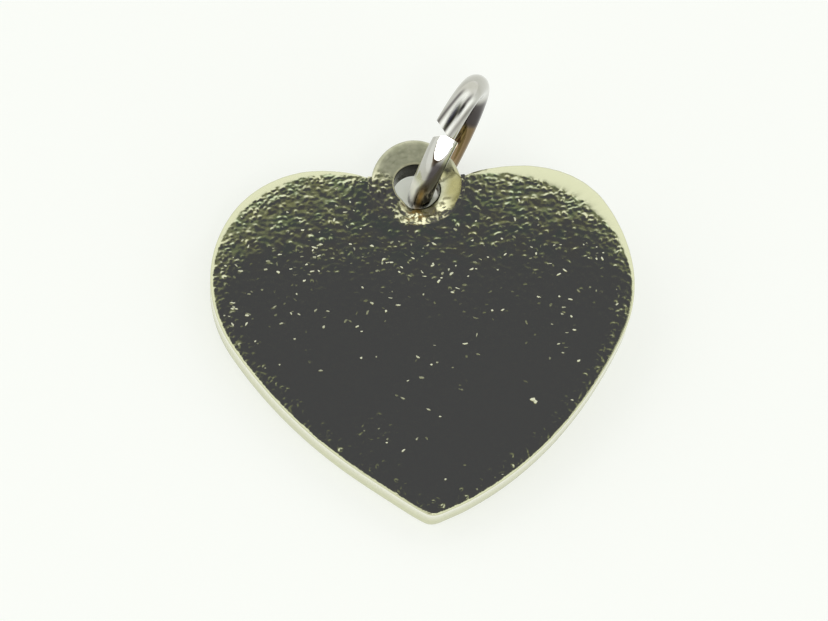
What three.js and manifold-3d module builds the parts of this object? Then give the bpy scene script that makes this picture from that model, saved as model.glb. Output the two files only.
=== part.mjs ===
// Flat heart charm: a stamped plate, a round eye soldered into its cleft, a cut jump ring through the eye.
// Millimetres, +Z up. The charm is drawn flat (X across, Y towards the eye, front face up),
// then laid down the way it rests on a table: on its lower left edge and on the underside of the ring.
import * as THREE from 'three';
import { mergeVertices } from 'three/addons/utils/BufferGeometryUtils.js';
import Module from 'manifold-3d';

const wasm = await Module();
wasm.setup();

// Heart plate. Each half is three tangent arcs: lobe, flank and side, closed by a small arc at the tip.
// The three arcs take their radii from the width, as shares of it.
const HEART_WIDTH = 16.0;
const LOBE_SHARE = 0.253125;
const FLANK_SHARE = 0.328125;
const SIDE_SHARE = 1.11875;
const LOBE_END_DEG = 34;
const FLANK_END_DEG = -30;
const TIP_RADIUS = 0.6;
const PLATE_THICKNESS = 1.1;
const FRONT_ROUND = 0.35;
const BACK_ROUND = 0.14;

// Hanging eye. Its foot is measured from the line through the two lobe centres. Its hole sits a little low.
const EYE_FOOT = 1.63;
const EYE_OUTER_DIAMETER = 3.46;
const EYE_ROUND = 0.2;
const HOLE_DIAMETER = 1.74;
const HOLE_DROP = 0.12;
const HOLE_ROUND = 0.08;

// Solder seam between the eye and its seat.
const SEAM_GAP = 0.12;
const SEAM_CLEARANCE = 0.02;
const SEAM_SINK = 0.04;
const SEAM_BACK_SINK = 0.2;
const SEAM_PAST_LEVEL_DEG = 1;

// Jump ring. The wire lies against the tip side of the hole and the ring leans to the right.
// Where the wire crosses the middle of the plate it stands off the hole's wall by the play,
// on the side given by the angle from the line straight back to the tip. The lift raises the ring's centre.
// The ring is sprung a little, so its two ends stand side by side by the given offset.
const RING_OUTER_DIAMETER = 5.8;
const WIRE_DIAMETER = 0.95;
const WIRE_PLAY = 0.093;
const WIRE_SIDE_DEG = 52.7;
const RING_LIFT = 0.45;
const RING_AZIMUTH_DEG = 31;
const RING_SPRING = 0.18;

// Cut in the ring: a pinched V that is open on one flank of the wire, with a hairline through the rest.
const CUT_ANGLE_DEG = 112;
const CUT_HAIRLINE = 0.05;
const CUT_DEPTH = 0.56;
const CUT_HALF_ANGLE_DEG = 28;

// Direction in which the resting plate rises, from the heart's axis towards the right lobe.
const RISE_AZIMUTH_DEG = 31;

const LOBE_RADIUS = LOBE_SHARE * HEART_WIDTH;
const FLANK_RADIUS = FLANK_SHARE * HEART_WIDTH;
const SIDE_RADIUS = SIDE_SHARE * HEART_WIDTH;
const EYE_RADIUS = EYE_OUTER_DIAMETER / 2;
const EYE_RISE = EYE_FOOT + EYE_RADIUS;
const HOLE_RADIUS = HOLE_DIAMETER / 2;
const HOLE_RISE = EYE_RISE - HOLE_DROP;
const SEAT_RADIUS = EYE_RADIUS + SEAM_GAP;
const WIRE_RADIUS = WIRE_DIAMETER / 2;
const RING_RADIUS = RING_OUTER_DIAMETER / 2 - WIRE_RADIUS;
const HALF = PLATE_THICKNESS / 2;
const rad = THREE.MathUtils.degToRad;

// Place of the ring's centre from the hole's centre: outwards and sideways.
const WIRE_STAND_OFF = HOLE_RADIUS - WIRE_RADIUS - WIRE_PLAY;
const WIRE_SIDE = rad(WIRE_SIDE_DEG);
const RING_SHIFT = WIRE_STAND_OFF * Math.sin(WIRE_SIDE);
const RING_REACH = Math.sqrt(RING_RADIUS ** 2 - RING_LIFT ** 2) - WIRE_STAND_OFF * Math.cos(WIRE_SIDE);

// Points on an arc from one angle to another, in radians, last point left out.
function arcPoints(centre, radius, from, to, count) {
  const points = [];
  for (let i = 0; i < count; i += 1) {
    const a = from + ((to - from) * i) / count;
    points.push(new THREE.Vector2(centre.x + radius * Math.cos(a), centre.y + radius * Math.sin(a)));
  }
  return points;
}

// Centre of the next arc in a chain of arcs that touch at the given angle.
function nextCentre(centre, radius, nextRadius, angle) {
  const shift = radius - nextRadius;
  return new THREE.Vector2(centre.x + shift * Math.cos(angle), centre.y + shift * Math.sin(angle));
}

// Upper point where the lobe circle meets the seat circle.
function seatCorner(lobe, eye) {
  const gap = lobe.distanceTo(eye);
  const along = (gap * gap + LOBE_RADIUS ** 2 - SEAT_RADIUS ** 2) / (2 * gap);
  const across = Math.sqrt(LOBE_RADIUS ** 2 - along ** 2);
  const dir = eye.clone().sub(lobe).divideScalar(gap);
  const side = new THREE.Vector2(dir.y, -dir.x);
  return lobe.clone().addScaledVector(dir, along).addScaledVector(side, across);
}

// Outline of the plate, counter-clockwise, from the right corner of the seat round the seat and both halves.
function plateOutline() {
  const lobeEnd = rad(LOBE_END_DEG);
  const flankEnd = rad(FLANK_END_DEG);
  const lobeX = HEART_WIDTH / 2 - FLANK_RADIUS - (LOBE_RADIUS - FLANK_RADIUS) * Math.cos(lobeEnd);
  const lobe = new THREE.Vector2(lobeX, 0);
  const flank = nextCentre(lobe, LOBE_RADIUS, FLANK_RADIUS, lobeEnd);
  const side = nextCentre(flank, FLANK_RADIUS, SIDE_RADIUS, flankEnd);
  const tipY = side.y - Math.sqrt((SIDE_RADIUS - TIP_RADIUS) ** 2 - side.x ** 2);
  const tip = new THREE.Vector2(0, tipY);
  const tipAngle = Math.atan2(tipY - side.y, -side.x);
  const eye = new THREE.Vector2(0, EYE_RISE);
  const corner = seatCorner(lobe, eye);
  const lobeStart = Math.atan2(corner.y - lobe.y, corner.x - lobe.x);
  const seatAngle = Math.atan2(corner.y - eye.y, corner.x - eye.x);
  const right = [
    ...arcPoints(lobe, LOBE_RADIUS, lobeStart, lobeEnd, 22),
    ...arcPoints(flank, FLANK_RADIUS, lobeEnd, flankEnd, 20),
    ...arcPoints(side, SIDE_RADIUS, flankEnd, tipAngle, 18),
    ...arcPoints(tip, TIP_RADIUS, tipAngle, -Math.PI / 2, 6),
  ];
  const left = right.map((p) => new THREE.Vector2(-p.x, p.y));
  const bottom = new THREE.Vector2(0, tipY - TIP_RADIUS);
  const seat = arcPoints(eye, SEAT_RADIUS, Math.PI - seatAngle, 2 * Math.PI + seatAngle, 40);
  const clockwise = [...right, bottom, ...left.reverse(), ...seat.slice(1)];
  return clockwise.reverse();
}

// The outline moved inwards by the given amount, with mitred corners.
function insetOutline(outline, amount) {
  const count = outline.length;
  return outline.map((p, i) => {
    const a = p.clone().sub(outline[(i + count - 1) % count]).normalize();
    const b = outline[(i + 1) % count].clone().sub(p).normalize();
    const normal = new THREE.Vector2(-a.y - b.y, a.x + b.x).normalize();
    const mitre = amount / Math.max(0.5, normal.x * -a.y + normal.y * a.x);
    return p.clone().addScaledVector(normal, mitre);
  });
}

// Solid with equal rows of points joined in order; the two flat contours give the faces of its ends.
function joinedRows(rows, firstContour, lastContour) {
  const count = rows[0].length;
  const index = [];
  for (let r = 0; r + 1 < rows.length; r += 1) {
    for (let i = 0; i < count; i += 1) {
      const a = r * count + i;
      const b = r * count + ((i + 1) % count);
      index.push(a, b, b + count, a, b + count, a + count);
    }
  }
  const last = (rows.length - 1) * count;
  for (const [a, b, c] of THREE.ShapeUtils.triangulateShape(firstContour, [])) {
    index.push(a, c, b);
  }
  for (const [a, b, c] of THREE.ShapeUtils.triangulateShape(lastContour, [])) {
    index.push(last + a, last + b, last + c);
  }
  const position = rows.flat().flatMap((p) => [p.x, p.y, p.z]);
  const geometry = new THREE.BufferGeometry();
  geometry.setAttribute('position', new THREE.Float32BufferAttribute(position, 3));
  geometry.setIndex(index);
  return geometry;
}

// Plate with a wide round on its front edge and a small one on its back edge.
function heartPlate() {
  const outline = plateOutline();
  const levels = [];
  const backSteps = 3;
  const frontSteps = 5;
  for (let i = 0; i <= backSteps; i += 1) {
    const a = (Math.PI / 2) * (i / backSteps);
    levels.push({ inset: BACK_ROUND * (1 - Math.sin(a)), z: -HALF + BACK_ROUND * (1 - Math.cos(a)) });
  }
  for (let i = 0; i <= frontSteps; i += 1) {
    const a = (Math.PI / 2) * (i / frontSteps);
    levels.push({ inset: FRONT_ROUND * (1 - Math.cos(a)), z: HALF - FRONT_ROUND * (1 - Math.sin(a)) });
  }
  const contours = levels.map((level) => insetOutline(outline, level.inset));
  const rows = contours.map((row, i) => row.map((p) => new THREE.Vector3(p.x, p.y, levels[i].z)));
  return joinedRows(rows, contours[0], contours[contours.length - 1]);
}

// Closed solid turned about an axis through the given point, from a section that starts and ends on the axis.
function turned(section, rise) {
  const geometry = new THREE.LatheGeometry(section, 72);
  geometry.rotateX(Math.PI / 2);
  geometry.translate(0, rise, 0);
  return toManifold(geometry);
}

// Round eye: a disc with rounded edges, less a hole whose two mouths are slightly rounded.
function hangingEye() {
  const level = HALF - EYE_ROUND;
  const edge = EYE_RADIUS - EYE_ROUND;
  const disc = turned([
    new THREE.Vector2(0, -HALF),
    ...arcPoints(new THREE.Vector2(edge, -level), EYE_ROUND, -Math.PI / 2, 0, 4),
    new THREE.Vector2(EYE_RADIUS, -level),
    ...arcPoints(new THREE.Vector2(edge, level), EYE_ROUND, 0, Math.PI / 2, 4),
    new THREE.Vector2(edge, HALF),
    new THREE.Vector2(0, HALF),
  ], EYE_RISE);
  const mouth = HOLE_RADIUS + HOLE_ROUND;
  const throat = HALF - HOLE_ROUND;
  const past = HALF + HOLE_ROUND;
  const plug = turned([
    new THREE.Vector2(0, -past),
    new THREE.Vector2(mouth, -past),
    new THREE.Vector2(mouth, -HALF),
    ...arcPoints(new THREE.Vector2(mouth, -throat), HOLE_ROUND, 1.5 * Math.PI, Math.PI, 3).slice(1),
    new THREE.Vector2(HOLE_RADIUS, -throat),
    ...arcPoints(new THREE.Vector2(mouth, throat), HOLE_ROUND, Math.PI, Math.PI / 2, 3),
    new THREE.Vector2(mouth, HALF),
    new THREE.Vector2(mouth, past),
    new THREE.Vector2(0, past),
  ], HOLE_RISE);
  return fromManifold(disc.subtract(plug));
}

// Section of the seam round the lower half of the eye: a thin web that widens at the front
// between the two rounded edges.
function seamSection(middle) {
  const top = HALF - SEAM_SINK;
  const bottom = -HALF + SEAM_BACK_SINK;
  const web = SEAM_GAP / 2 - SEAM_CLEARANCE;
  const eyeArc = new THREE.Vector2(EYE_RADIUS - EYE_ROUND - middle, HALF - EYE_ROUND);
  const eyeReach = EYE_ROUND + SEAM_CLEARANCE;
  const eyeTop = Math.asin((top - eyeArc.y) / eyeReach);
  const seatArc = new THREE.Vector2(SEAT_RADIUS + FRONT_ROUND - middle, HALF - FRONT_ROUND);
  const seatReach = FRONT_ROUND + SEAM_CLEARANCE;
  const seatTop = Math.PI - Math.asin((top - seatArc.y) / seatReach);
  return [
    new THREE.Vector2(-web, bottom),
    new THREE.Vector2(web, bottom),
    ...arcPoints(seatArc, seatReach, Math.PI, seatTop, 4),
    new THREE.Vector2(seatArc.x + seatReach * Math.cos(seatTop), top),
    ...arcPoints(eyeArc, eyeReach, eyeTop, 0, 4),
    new THREE.Vector2(eyeArc.x + eyeReach, eyeArc.y),
  ];
}

function solderSeam() {
  const middle = EYE_RADIUS + SEAM_GAP / 2;
  const section = seamSection(middle);
  const past = rad(SEAM_PAST_LEVEL_DEG);
  const steps = 40;
  const rows = [];
  for (let i = 0; i <= steps; i += 1) {
    const a = past - (Math.PI + 2 * past) * (i / steps);
    rows.push(section.map((q) => new THREE.Vector3(
      (middle + q.x) * Math.cos(a),
      EYE_RISE + (middle + q.x) * Math.sin(a),
      q.y,
    )));
  }
  return joinedRows(rows, section, section);
}

// A closed solid for joining and cutting.
function toManifold(geometry) {
  const plain = geometry.clone();
  plain.deleteAttribute('normal');
  plain.deleteAttribute('uv');
  const merged = mergeVertices(plain, 1e-4);
  const corners = merged.index.array;
  const kept = [];
  for (let i = 0; i < corners.length; i += 3) {
    const [a, b, c] = corners.slice(i, i + 3);
    if (a !== b && b !== c && c !== a) {
      kept.push(a, b, c);
    }
  }
  return new wasm.Manifold(new wasm.Mesh({
    numProp: 3,
    vertProperties: new Float32Array(merged.attributes.position.array),
    triVerts: new Uint32Array(kept),
  }));
}

function fromManifold(solid) {
  const mesh = solid.getMesh();
  const geometry = new THREE.BufferGeometry();
  geometry.setAttribute('position', new THREE.BufferAttribute(new Float32Array(mesh.vertProperties), 3));
  geometry.setIndex(Array.from(mesh.triVerts));
  return geometry;
}

// Wedge that opens the ring, drawn across the wire and pushed through it along the ring's radius.
function cutWedge() {
  const half = CUT_HAIRLINE / 2;
  const past = WIRE_RADIUS;
  const apex = -WIRE_RADIUS + CUT_DEPTH;
  const mouth = half + (CUT_DEPTH + past) * Math.tan(rad(CUT_HALF_ANGLE_DEG));
  const shape = new THREE.Shape([
    new THREE.Vector2(-half, WIRE_RADIUS + past),
    new THREE.Vector2(-half, apex),
    new THREE.Vector2(-mouth, -WIRE_RADIUS - past),
    new THREE.Vector2(mouth, -WIRE_RADIUS - past),
    new THREE.Vector2(half, apex),
    new THREE.Vector2(half, WIRE_RADIUS + past),
  ]);
  const length = 2 * WIRE_DIAMETER;
  const wedge = new THREE.ExtrudeGeometry(shape, { depth: length, bevelEnabled: false });
  wedge.translate(0, 0, RING_RADIUS - length / 2);
  const basis = new THREE.Matrix4().makeBasis(
    new THREE.Vector3(0, 1, 0),
    new THREE.Vector3(0, 0, 1),
    new THREE.Vector3(1, 0, 0),
  );
  wedge.applyMatrix4(basis);
  wedge.rotateZ(rad(CUT_ANGLE_DEG));
  return wedge;
}

const azimuth = rad(RING_AZIMUTH_DEG);
const ringOut = new THREE.Vector3(Math.sin(azimuth), Math.cos(azimuth), 0);
const plateUp = new THREE.Vector3(0, 0, 1);
const ringAxis = ringOut.clone().cross(plateUp);
const ringCentre = new THREE.Vector3(0, HOLE_RISE, 0)
  .addScaledVector(ringOut, RING_REACH)
  .addScaledVector(plateUp, RING_LIFT)
  .addScaledVector(ringAxis, RING_SHIFT);

// Wire bent once round from one side of the cut to the other, with the cut ground off both ends.
function jumpRing() {
  const steps = 96;
  const half = CUT_HAIRLINE / 2 / RING_RADIUS;
  const section = arcPoints(new THREE.Vector2(0, 0), WIRE_RADIUS, 0, 2 * Math.PI, 20);
  const rows = [];
  for (let i = 0; i <= steps; i += 1) {
    const turn = i / steps;
    const a = rad(CUT_ANGLE_DEG) - half - turn * 2 * (Math.PI - half);
    const aside = RING_SPRING * (turn - 0.5);
    rows.push(section.map((q) => new THREE.Vector3(
      (RING_RADIUS + q.x) * Math.cos(a),
      (RING_RADIUS + q.x) * Math.sin(a),
      aside + q.y,
    )));
  }
  const wire = toManifold(joinedRows(rows, section, section));
  const geometry = fromManifold(wire.subtract(toManifold(cutWedge())));
  const pose = new THREE.Matrix4().makeBasis(ringOut, plateUp, ringAxis).setPosition(ringCentre);
  return geometry.applyMatrix4(pose);
}

// Tilt at which the back edge of the plate and the underside of the ring touch one level surface.
function restTilt() {
  const rise = rad(RISE_AZIMUTH_DEG);
  const uphill = new THREE.Vector2(Math.sin(rise), Math.cos(rise));
  const edge = Math.min(...plateOutline().map((p) => p.dot(uphill)));
  let low = 0;
  let high = rad(25);
  for (let i = 0; i < 50; i += 1) {
    const tilt = (low + high) / 2;
    const up = new THREE.Vector3(uphill.x * Math.sin(tilt), uphill.y * Math.sin(tilt), Math.cos(tilt));
    const plateLow = (edge + BACK_ROUND) * Math.sin(tilt) - (HALF - BACK_ROUND) * Math.cos(tilt) - BACK_ROUND;
    const lean = Math.sqrt(1 - up.dot(ringAxis) ** 2);
    const ringLow = up.dot(ringCentre) - RING_RADIUS * lean - WIRE_RADIUS;
    if (ringLow < plateLow) {
      low = tilt;
    } else {
      high = tilt;
    }
  }
  return (low + high) / 2;
}

function metal(color, roughness) {
  return new THREE.MeshStandardMaterial({ color, metalness: 1, roughness });
}

function piece(name, geometry, material) {
  const mesh = new THREE.Mesh(geometry, material);
  mesh.name = name;
  return mesh;
}

const charm = new THREE.Group();
charm.name = 'heart_charm';
charm.add(
  piece('heart_plate', heartPlate(), metal(0xc9c4a4, 0.28)),
  piece('hanging_eye', hangingEye(), metal(0xcdc59a, 0.22)),
  piece('solder_seam', solderSeam(), metal(0xd9d3b0, 0.3)),
  piece('jump_ring', jumpRing(), metal(0xd6d4cb, 0.12)),
);

const rise = rad(RISE_AZIMUTH_DEG);
const tiltAxis = new THREE.Vector3(Math.cos(rise), -Math.sin(rise), 0);
const laid = new THREE.Matrix4().makeRotationAxis(tiltAxis, restTilt());
charm.children.forEach((mesh) => mesh.geometry.applyMatrix4(laid));
const box = new THREE.Box3().setFromObject(charm, true);
const centre = box.getCenter(new THREE.Vector3());
charm.children.forEach((mesh) => mesh.geometry.translate(-centre.x, -centre.y, -box.min.z));

export default charm;
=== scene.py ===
"""Dressed heart charm on a white table.

Every piece is drawn flat in millimetres, with X across the heart, Y from its tip to its eye
and Z from its back to its front, and is then laid down the way the charm rests.
"""

from __future__ import annotations

import logging
import math
from dataclasses import dataclass, field
from enum import Enum

import bmesh
import bpy
import numpy as np
from mathutils import Matrix, Vector


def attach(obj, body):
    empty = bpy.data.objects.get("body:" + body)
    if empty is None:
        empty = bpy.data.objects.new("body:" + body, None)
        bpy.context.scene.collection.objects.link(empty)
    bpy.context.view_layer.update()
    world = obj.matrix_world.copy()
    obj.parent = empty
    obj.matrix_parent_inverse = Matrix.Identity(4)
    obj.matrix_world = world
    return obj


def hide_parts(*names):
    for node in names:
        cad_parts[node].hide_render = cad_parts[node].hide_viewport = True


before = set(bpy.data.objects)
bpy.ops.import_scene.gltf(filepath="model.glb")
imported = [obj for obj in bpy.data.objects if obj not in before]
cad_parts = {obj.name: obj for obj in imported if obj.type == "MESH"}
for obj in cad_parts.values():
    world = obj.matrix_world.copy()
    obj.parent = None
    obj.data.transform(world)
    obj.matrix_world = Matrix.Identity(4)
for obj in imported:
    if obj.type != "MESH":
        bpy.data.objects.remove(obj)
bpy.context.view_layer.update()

LOG = logging.getLogger("heart_charm")
MM = 0.001
TAU = 2 * math.pi
EYE_RISE = 3.36
HOLE_DROP = 0.12
HALF_THICKNESS = 0.55

Tone = tuple[float, float, float]
Place = tuple[float, float, float]
Span = tuple[float, float]
Band = tuple[float, float, float, float]


class Body(Enum):
    """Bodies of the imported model."""

    CHARM = "charm"
    RING = "ring"


class Node(Enum):
    """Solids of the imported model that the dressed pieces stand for."""

    PLATE = "heart_plate"
    EYE = "hanging_eye"
    SEAM = "solder_seam"
    RING = "jump_ring"


class Slot(Enum):
    """Material slots of the record."""

    PLATE = "plate_metal"
    EYE = "eye_metal"
    SOLDER = "solder"
    WIRE = "ring_wire"


@dataclass(frozen=True)
class RestingPlace:
    """How the flat drawing lies on the table: shifted, tipped up towards the eye, made metres."""

    shift: Place = (0.10991, 1.52778, 1.58389)
    tilt_deg: float = 8.02938
    rise_azimuth_deg: float = 31.0

    def matrix(self) -> Matrix:
        """Works out how the drawing is laid down.

        Returns:
            Matrix from drawing millimetres to metres of the shared frame.
        """
        rise = math.radians(self.rise_azimuth_deg)
        axis = Vector((math.cos(rise), -math.sin(rise), 0.0))
        tip = Matrix.Rotation(math.radians(self.tilt_deg), 4, axis)
        return Matrix.Scale(MM, 4) @ tip @ Matrix.Translation(self.shift)


class Bench:
    """Operator steps that all the pieces are made with."""

    @staticmethod
    def clear() -> None:
        """Leaves edit mode and lets go of everything."""
        if bpy.context.mode != "OBJECT":
            bpy.ops.object.mode_set(mode="OBJECT")
        bpy.ops.object.select_all(action="DESELECT")

    @staticmethod
    def choose(piece: bpy.types.Object) -> None:
        """Selects one piece alone and makes it active."""
        Bench.clear()
        piece.select_set(True)
        bpy.context.view_layer.objects.active = piece

    @staticmethod
    def spots(piece: bpy.types.Object) -> np.ndarray:
        """Places of the vertices, one line each."""
        return np.array([v.co for v in piece.data.vertices])

    @staticmethod
    def move(piece: bpy.types.Object, spots: np.ndarray) -> None:
        """Moves the vertices to new places, one line each."""
        piece.data.vertices.foreach_set("co", spots.astype(np.float32).ravel())
        piece.data.update()

    @staticmethod
    def lift(piece: bpy.types.Object, amount: np.ndarray) -> None:
        """Raises each vertex towards the front by its own amount."""
        Bench.move(piece, Bench.spots(piece) + amount[:, None] * np.array([0.0, 0.0, 1.0]))

    @staticmethod
    def loft(name: str, rows: list[np.ndarray]) -> bpy.types.Object:
        """Moves a circle's points onto the first row and extrudes it through the others.

        Args:
            name: Name of the new piece.
            rows: Closed rows of points, all as long, in millimetres.

        Returns:
            The new object, in edit mode with the last row selected.
        """
        Bench.clear()
        bpy.ops.mesh.primitive_circle_add(vertices=len(rows[0]), radius=1.0, fill_type="NOTHING")
        made = bpy.context.object
        made.name = name
        made.data.name = name
        Bench.move(made, rows[0])
        bpy.ops.object.mode_set(mode="EDIT")
        bpy.ops.mesh.select_mode(type="EDGE")
        bpy.ops.mesh.select_all(action="SELECT")
        for before, row in zip(rows, rows[1:]):
            bpy.ops.mesh.extrude_region_move()
            mesh = bmesh.from_edit_mesh(made.data)
            fresh = [v for v in mesh.verts if v.select]
            now = np.array([v.co for v in fresh], np.float32)
            apart = ((now[:, None, :] - before.astype(np.float32)[None, :, :]) ** 2).sum(axis=2)
            for vert, place in zip(fresh, apart.argmin(axis=1)):
                vert.co = row[place]
            bmesh.update_edit_mesh(made.data)
        return made

    @staticmethod
    def open_edges(piece: bpy.types.Object) -> None:
        """Selects the edges that have one face only.

        Args:
            piece: Object in edit mode.
        """
        bpy.ops.mesh.select_mode(type="EDGE")
        bpy.ops.mesh.select_all(action="DESELECT")
        mesh = bmesh.from_edit_mesh(piece.data)
        for edge in mesh.edges:
            if len(edge.link_faces) == 1:
                edge.select = True
        mesh.select_flush_mode()
        bmesh.update_edit_mesh(piece.data)

    @staticmethod
    def close_ends(piece: bpy.types.Object) -> None:
        """Fills the last row, which is selected, and then the first.

        Args:
            piece: Object in edit mode.
        """
        bpy.ops.mesh.edge_face_add()
        Bench.open_edges(piece)
        bpy.ops.mesh.edge_face_add()
        Bench.clear()

    @staticmethod
    def settle(piece: bpy.types.Object, place: Matrix, smooth_deg: float = 40.0) -> None:
        """Turns the faces outwards, smooths them and lays the piece in its resting place.

        Args:
            piece: The finished piece, in drawing millimetres.
            place: Matrix from the drawing to the shared frame.
            smooth_deg: Edges sharper than this stay crisp.
        """
        if bpy.context.mode != "EDIT_MESH":
            bpy.ops.object.mode_set(mode="EDIT")
        bpy.ops.mesh.select_all(action="SELECT")
        bpy.ops.mesh.normals_make_consistent(inside=False)
        Bench.choose(piece)
        piece.matrix_world = place
        bpy.ops.object.transform_apply(location=True, rotation=True, scale=True)
        bpy.ops.object.shade_smooth_by_angle(angle=math.radians(smooth_deg))
        Bench.clear()

    @staticmethod
    def apply_modifiers(piece: bpy.types.Object) -> None:
        """Applies every modifier of the piece in order."""
        Bench.choose(piece)
        for modifier in list(piece.modifiers):
            bpy.ops.object.modifier_apply(modifier=modifier.name)


def smooth(low: float, high: float, value: np.ndarray | float) -> np.ndarray | float:
    """Eased step from 0 at low to 1 at high."""
    t = np.clip((np.asarray(value, float) - low) / (high - low), 0.0, 1.0)
    return t * t * (3.0 - 2.0 * t)


def band(limits: Band, value: np.ndarray) -> np.ndarray:
    """Soft band that starts at the first limit, is full between the middle two, ends at the last."""
    start, full, fade, end = limits
    return smooth(start, full, value) * smooth(end, fade, value)


def hump(middle: float | np.ndarray, width: float, value: np.ndarray) -> np.ndarray:
    """Soft hump that is 1 at its middle and falls away on both sides."""
    return np.exp(-(((value - middle) / width) ** 2))


def most(*values: np.ndarray) -> np.ndarray:
    """Largest of several values at each place."""
    return np.maximum.reduce(values)


def quarter_turn(steps: int) -> list[float]:
    """Angles from 0 to a right angle, both included."""
    return [(math.pi / 2) * (i / steps) for i in range(steps + 1)]


class Wiring:
    """Node tree under construction."""

    def __init__(self, tree: bpy.types.NodeTree) -> None:
        """Starts with an empty tree."""
        self.tree = tree
        tree.nodes.clear()

    def add(
        self, kind: str, sockets: dict[int | str, object] | None = None, **settings: str
    ) -> bpy.types.Node:
        """Adds a node.

        Args:
            kind: Type of the node, as its name goes on after the words that all types start with.
            sockets: For inputs by name or number, a constant or the output that feeds it.
            settings: Properties of the node.

        Returns:
            The new node.
        """
        made = self.tree.nodes.new("ShaderNode" + kind)
        for name, value in settings.items():
            setattr(made, name, value)
        for socket, value in (sockets or {}).items():
            if isinstance(value, bpy.types.NodeSocket):
                self.tree.links.new(value, made.inputs[socket])
            else:
                made.inputs[socket].default_value = value
        return made

    def ramp(
        self, factor: bpy.types.NodeSocket, stops: list[tuple[float, Tone]], change: str
    ) -> bpy.types.NodeSocket:
        """Adds a ramp of three tones.

        Args:
            factor: Where on the ramp to look.
            stops: Place and tone of the low, the middle and the high stop.
            change: How one tone changes to the next.

        Returns:
            The tone that was found.
        """
        made = self.add("ValToRGB", {"Fac": factor})
        made.color_ramp.interpolation = change
        low, middle, high = stops
        for end, (position, tone) in zip(made.color_ramp.elements, (low, high)):
            end.position = position
            end.color = (*tone, 1.0)
        made.color_ramp.elements.new(middle[0]).color = (*middle[1], 1.0)
        return made.outputs["Color"]

    def attribute(self, name: str) -> bpy.types.NodeSocket:
        """Reads a value that is stored at each vertex."""
        return self.add("Attribute", attribute_name=name).outputs["Fac"]


@dataclass(frozen=True)
class MetalFinish:
    """Bright metal with a slight change of tone, uneven polish and fine marks, over which pieces lay
    painted highlights, painted reflections and painted shade.
    """

    name: str
    tone: Tone
    worn_tone: Tone
    third_tone: Tone
    pale_tone: Tone
    roughness: Span
    tone_scale: float
    mark_scale: float
    mark_depth: float
    satin: float = 0.3
    patina_tone: Tone = (0.07, 0.06, 0.05)
    amber_tone: Tone = (0.5, 0.27, 0.08)
    tone_stops: tuple[float, float, float] = (0.36, 0.5, 0.66)
    tone_detail: float = 3.0
    mark_detail: float = 4.0
    mark_range: Span = (0.3, 0.7)

    def material(self) -> bpy.types.Material:
        """Builds the finish as a node material.

        Returns:
            The new material.
        """
        made = bpy.data.materials.new(self.name)
        made.use_nodes = True
        wiring = Wiring(made.node_tree)
        where = wiring.add("TexCoord").outputs["Object"]
        broad, fine = (
            wiring.add("TexNoise", {"Scale": scale, "Detail": detail, "Vector": where}).outputs["Fac"]
            for scale, detail in ((self.tone_scale, self.tone_detail), (self.mark_scale, self.mark_detail))
        )
        tones = (self.tone, self.third_tone, self.worn_tone)
        colour = wiring.ramp(broad, list(zip(self.tone_stops, tones)), "LINEAR")
        # Layers read from each vertex. The even tone and some of the pale and amber are the metal's own
        # colour. The rest of the pale, amber and dark layers are painted highlights, painted reflections
        # and painted shade.
        stains_and_painted_light = {
            "even": self.third_tone, "pale": self.pale_tone,
            "amber": self.amber_tone, "patina": self.patina_tone,
        }
        for name, tone in stains_and_painted_light.items():
            layers = {0: wiring.attribute(name), 6: colour, 7: (*tone, 1.0)}
            colour = wiring.add("Mix", layers, data_type="RGBA").outputs[2]
        polish = wiring.add("MapRange", {
            "Value": fine, "From Min": self.mark_range[0], "From Max": self.mark_range[1],
            "To Min": self.roughness[0], "To Max": self.roughness[1],
        })
        dulling = {0: wiring.attribute("satin"), 1: self.satin, 2: polish.outputs["Result"]}
        duller = wiring.add("Math", dulling, operation="MULTIPLY_ADD")
        bump = wiring.add("Bump", {"Strength": 1.0, "Distance": self.mark_depth, "Height": fine})
        shader = wiring.add("BsdfPrincipled", {
            "Metallic": 1.0, "Base Color": colour,
            "Roughness": duller.outputs["Value"], "Normal": bump.outputs["Normal"],
        })
        wiring.add("OutputMaterial", {"Surface": shader.outputs["BSDF"]})
        return made


def paint(piece: bpy.types.Object, **marks: np.ndarray) -> None:
    """Stores how even, pale, satin, amber or dark each vertex is, for the finish to read; pale, amber and
    dark carry painted highlights, reflections and shade as well as the metal's own marks.

    Args:
        piece: The piece.
        marks: One value per vertex for each of even, pale, satin, amber and the dark layer, which holds
            patina and painted shade.
    """
    for name in ("even", "pale", "satin", "amber", "patina"):
        values = marks.get(name, np.zeros(len(piece.data.vertices)))
        made = piece.data.attributes.new(name, "FLOAT", "POINT")
        made.data.foreach_set("value", np.asarray(values, np.float32))


@dataclass(frozen=True)
class Grain:
    """One size of grain: the size of its bumps and their full height, in millimetres."""

    name: str
    size: float
    height: float

    @staticmethod
    def add(
        piece: bpy.types.Object, group: str, weights: np.ndarray, sizes: tuple[Grain, ...]
    ) -> None:
        """Adds displacements that raise the grain on a piece.

        Args:
            piece: The piece, in drawing millimetres.
            group: Name of the vertex group to make.
            weights: How much of the grain each vertex takes.
            sizes: The sizes of grain to add up.
        """
        made = piece.vertex_groups.new(name=group)
        for index in np.flatnonzero(weights > 0.0):
            made.add([int(index)], float(weights[index]), "REPLACE")
        for grain in sizes:
            cloud = bpy.data.textures.new(grain.name, "CLOUDS")
            cloud.noise_scale = grain.size
            cloud.noise_depth = 0
            cloud.noise_basis = "IMPROVED_PERLIN"
            lift = piece.modifiers.new(grain.name, "DISPLACE")
            lift.texture = cloud
            lift.texture_coords = "LOCAL"
            lift.direction = "Z"
            lift.mid_level = 0.5
            lift.strength = grain.height
            lift.vertex_group = group


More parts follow.
